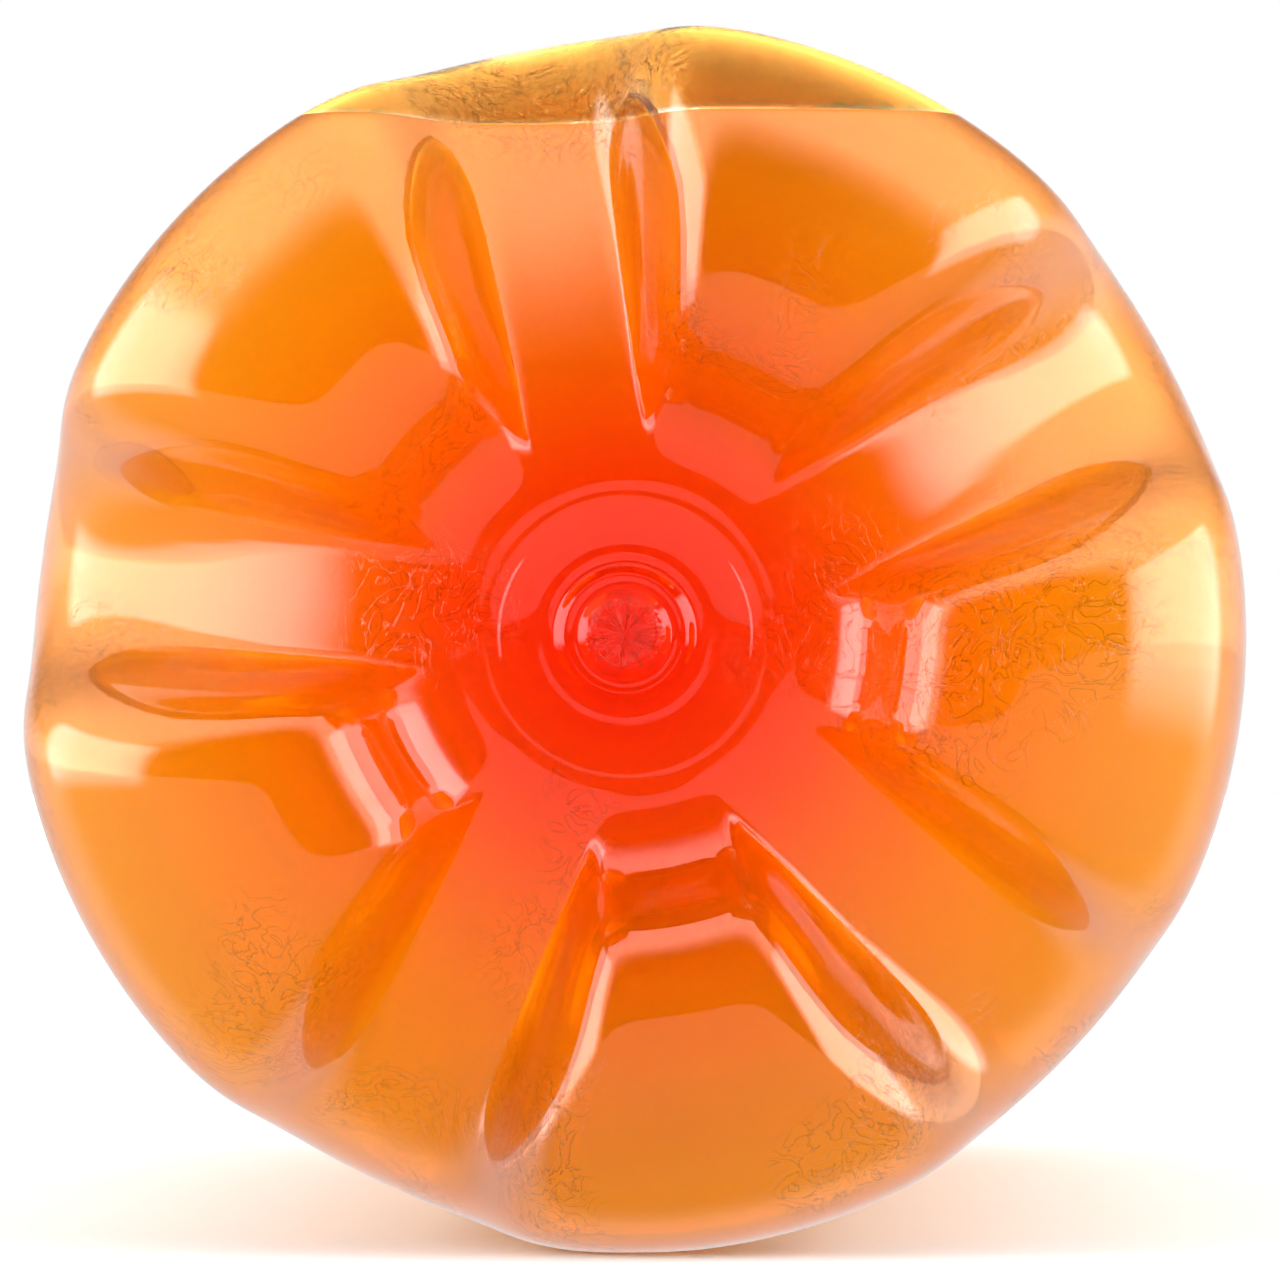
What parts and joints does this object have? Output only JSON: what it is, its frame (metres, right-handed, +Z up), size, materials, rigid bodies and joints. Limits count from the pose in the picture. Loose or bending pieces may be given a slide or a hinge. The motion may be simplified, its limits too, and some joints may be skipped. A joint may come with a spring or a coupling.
{
  "type": "drink bottle",
  "caption": "Clear plastic drink bottle with a lobed base, lying on its side, full of a slightly cloudy orange drink and closed by a screw cap with a tamper band.",
  "frame": {"origin": "on the surface that the bottle lies on, under the middle of its whole length", "axes": "+Z up; +Y along the bottle's axis, from the lobed base towards the cap; +X to the right as the base is faced"},
  "size_m": [0.065, 0.2108, 0.0648],
  "materials": {
    "clear_plastic": "clear, glossy blow-moulded PET, with fine scuffs on the base and a frosted gate",
    "orange_drink": "slightly cloudy orange liquid with a level, mirror-smooth surface",
    "cap_plastic": "white, slightly translucent moulded polyethylene",
    "liner_plastic": "soft white sealing disc"
  },
  "bodies": {
    "bottle": {"bottle": "clear_plastic", "drink": "orange_drink"},
    "liner": {"cap_liner": "liner_plastic"},
    "cap": {"cap_shell": "cap_plastic"},
    "band": {"tamper_band": "cap_plastic"}
  },
  "joints": [
    {"name": "cap_rise", "type": "slide", "parent": "bottle", "child": "liner", "axis": [0, 1, 0], "range_m": [0, 0.0054]},
    {"name": "cap_turn", "type": "hinge", "parent": "liner", "child": "cap", "pos_m": [0, 0, 0.03231], "axis": [0, 1, 0], "range_deg": [0, 720]},
    {"name": "band_spin", "type": "hinge", "parent": "bottle", "child": "band", "pos_m": [0, 0, 0.03231], "axis": [0, 1, 0], "continuous": true}
  ],
  "couplings": [
    {"joint": "cap_turn", "follows": "cap_rise", "rad_per_m": 2327.1}
  ]
}
